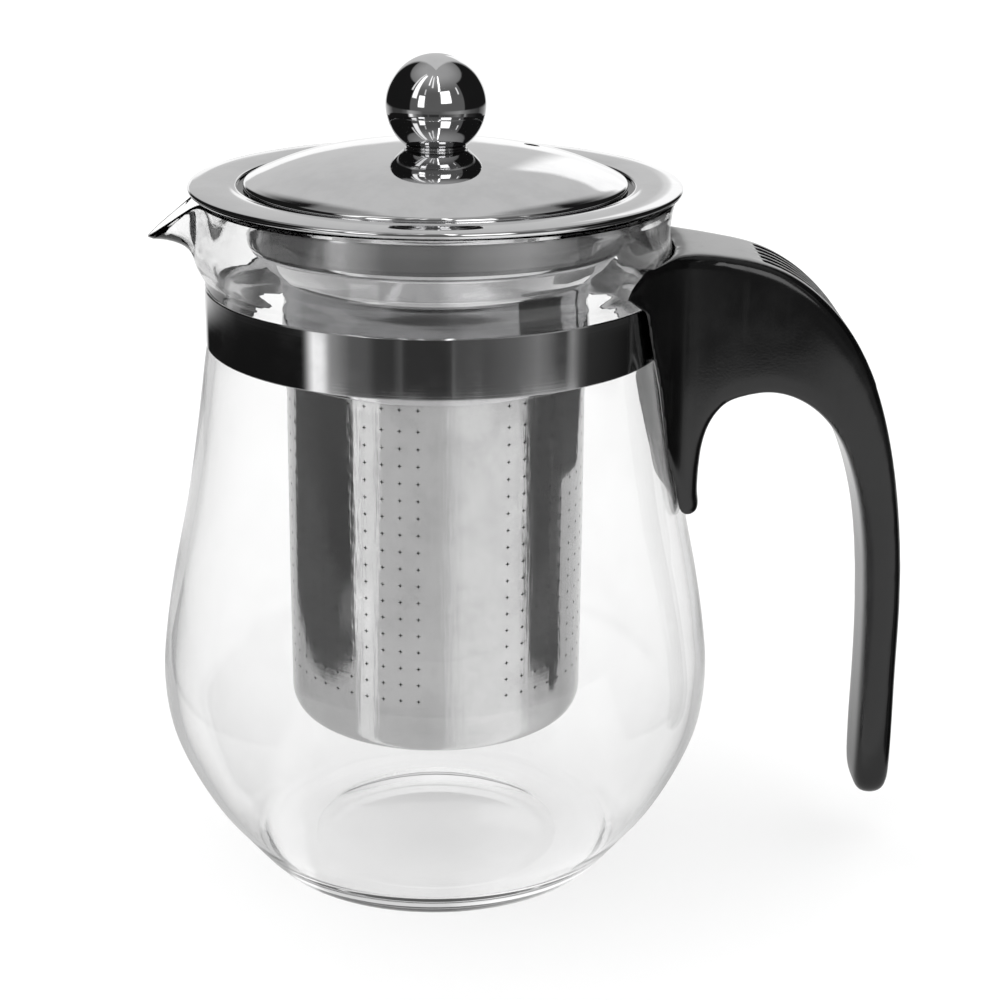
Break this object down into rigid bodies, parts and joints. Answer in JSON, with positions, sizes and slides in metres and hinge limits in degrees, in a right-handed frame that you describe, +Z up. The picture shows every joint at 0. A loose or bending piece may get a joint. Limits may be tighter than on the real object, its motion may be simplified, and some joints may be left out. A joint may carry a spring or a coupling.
{
  "type": "glass teapot with infuser",
  "caption": "Glass teapot with a pulled pouring lip, a lift-out stainless steel infuser basket, a domed steel lid with a ball knob and an open hook handle on a neck band",
  "frame": {"origin": "centre of the flat underside of the glass body, on the pot's axis", "axes": "+Z up along the pot's axis, +X towards the handle, -X towards the pouring lip"},
  "size_m": [0.147, 0.1084, 0.1602],
  "materials": {
    "clear_glass": "clear borosilicate glass, smooth, fire-polished rim",
    "polished_steel": "mirror-polished stainless steel",
    "satin_steel": "fine circumferential satin over pressed stainless steel",
    "black_plastic": "black moulded polypropylene, semi-gloss",
    "zinc_hardware": "plain stainless fastener finish",
    "brass_insert": "turned brass"
  },
  "bodies": {
    "pot": {"glass_body": "clear_glass", "neck_band": "polished_steel", "handle": "black_plastic", "clamp_screw": "zinc_hardware", "threaded_insert": "brass_insert"},
    "infuser": {"infuser_rim": "polished_steel", "basket_wall": "satin_steel", "basket_bottom": "satin_steel"},
    "lid": {"lid_dome": "polished_steel", "lid_locating_ring": "satin_steel", "knob_collar": "polished_steel", "knob_ball_bottom": "polished_steel", "knob_ball_top": "polished_steel", "knob_screw": "zinc_hardware", "knob_washer": "zinc_hardware", "knob_nut": "zinc_hardware"}
  },
  "joints": [
    {"name": "infuser_lift", "type": "slide", "parent": "pot", "child": "infuser", "axis": [0, 0, 1], "range_m": [0, 0.115]},
    {"name": "lid_lift", "type": "slide", "parent": "infuser", "child": "lid", "axis": [0, 0, 1], "range_m": [0, 0.04]}
  ]
}
